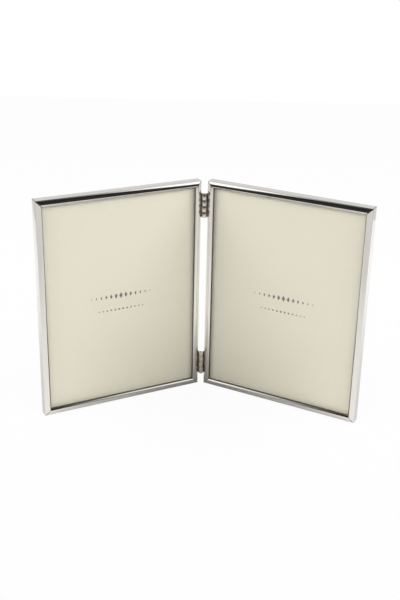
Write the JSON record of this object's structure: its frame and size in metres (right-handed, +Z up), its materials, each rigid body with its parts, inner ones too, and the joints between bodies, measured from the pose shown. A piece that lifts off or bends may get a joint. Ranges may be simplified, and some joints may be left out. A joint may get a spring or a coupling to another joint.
{
  "type": "hinged double photo frame",
  "caption": "Double photo frame: plated frames with mitred rails, glass and flocked backs, hinged to stand open like a book; turn buttons free the backing boards.",
  "frame": {"origin": "middle of the footprint of the open frame, on the table", "axes": "+Z up, +X to the viewer's right across both panels, fronts towards -Y"},
  "size_m": [0.2972, 0.0812, 0.2104],
  "materials": {
    "silver_plate": "mirror-polished silver plate",
    "hinge_plate": "polished nickel-plated hinge leaf",
    "screw_steel": "bright steel screws and pins",
    "clear_glass": "clear float glass",
    "ivory_sheet": "satin ivory paper",
    "flocked_board": "black flocked fibreboard",
    "button_steel": "stamped bright steel",
    "rivet_nickel": "nickel-plated rivets"
  },
  "bodies": {
    "left_panel": {"left_top_rail": "silver_plate", "left_bottom_rail": "silver_plate", "left_hinge_stile": "silver_plate", "left_outer_stile": "silver_plate", "left_glass": "clear_glass", "left_insert_sheet": "ivory_sheet", "left_backing_board": "flocked_board", "left_button_rivets": "rivet_nickel", "left_upper_hinge_leaf": "hinge_plate", "left_lower_hinge_leaf": "hinge_plate", "left_hinge_screws": "screw_steel", "upper_hinge_pin": "screw_steel", "lower_hinge_pin": "screw_steel"},
    "right_panel": {"right_top_rail": "silver_plate", "right_bottom_rail": "silver_plate", "right_hinge_stile": "silver_plate", "right_outer_stile": "silver_plate", "right_glass": "clear_glass", "right_insert_sheet": "ivory_sheet", "right_backing_board": "flocked_board", "right_button_rivets": "rivet_nickel", "right_upper_hinge_leaf": "hinge_plate", "right_lower_hinge_leaf": "hinge_plate", "right_hinge_screws": "screw_steel"},
    "left_turn_button_outer_top": {"left_turn_button_outer_top": "button_steel"},
    "left_turn_button_outer_bottom": {"left_turn_button_outer_bottom": "button_steel"},
    "left_turn_button_hinge_top": {"left_turn_button_hinge_top": "button_steel"},
    "left_turn_button_hinge_bottom": {"left_turn_button_hinge_bottom": "button_steel"},
    "right_turn_button_outer_top": {"right_turn_button_outer_top": "button_steel"},
    "right_turn_button_outer_bottom": {"right_turn_button_outer_bottom": "button_steel"},
    "right_turn_button_hinge_top": {"right_turn_button_hinge_top": "button_steel"},
    "right_turn_button_hinge_bottom": {"right_turn_button_hinge_bottom": "button_steel"}
  },
  "joints": [
    {"name": "fold", "type": "hinge", "parent": "left_panel", "child": "right_panel", "pos_m": [0, 0.03123, 0.1052], "axis": [0, 0, 1], "range_deg": [-125.2, 65]},
    {"name": "left_outer_top_button_turn", "type": "hinge", "parent": "left_panel", "child": "left_turn_button_outer_top", "pos_m": [-0.13874, -0.0301, 0.1652], "axis": [-0.4602, 0.8878, 0], "continuous": true},
    {"name": "left_outer_bottom_button_turn", "type": "hinge", "parent": "left_panel", "child": "left_turn_button_outer_bottom", "pos_m": [-0.13874, -0.0301, 0.0452], "axis": [-0.4602, 0.8878, 0], "continuous": true},
    {"name": "left_hinge_top_button_turn", "type": "hinge", "parent": "left_panel", "child": "left_turn_button_hinge_top", "pos_m": [-0.01498, 0.03406, 0.1652], "axis": [-0.4602, 0.8878, 0], "continuous": true},
    {"name": "left_hinge_bottom_button_turn", "type": "hinge", "parent": "left_panel", "child": "left_turn_button_hinge_bottom", "pos_m": [-0.01498, 0.03406, 0.0452], "axis": [-0.4602, 0.8878, 0], "continuous": true},
    {"name": "right_outer_top_button_turn", "type": "hinge", "parent": "right_panel", "child": "right_turn_button_outer_top", "pos_m": [0.13874, -0.0301, 0.1652], "axis": [0.4602, 0.8878, 0], "continuous": true},
    {"name": "right_outer_bottom_button_turn", "type": "hinge", "parent": "right_panel", "child": "right_turn_button_outer_bottom", "pos_m": [0.13874, -0.0301, 0.0452], "axis": [0.4602, 0.8878, 0], "continuous": true},
    {"name": "right_hinge_top_button_turn", "type": "hinge", "parent": "right_panel", "child": "right_turn_button_hinge_top", "pos_m": [0.01498, 0.03406, 0.1652], "axis": [0.4602, 0.8878, 0], "continuous": true},
    {"name": "right_hinge_bottom_button_turn", "type": "hinge", "parent": "right_panel", "child": "right_turn_button_hinge_bottom", "pos_m": [0.01498, 0.03406, 0.0452], "axis": [0.4602, 0.8878, 0], "continuous": true}
  ]
}
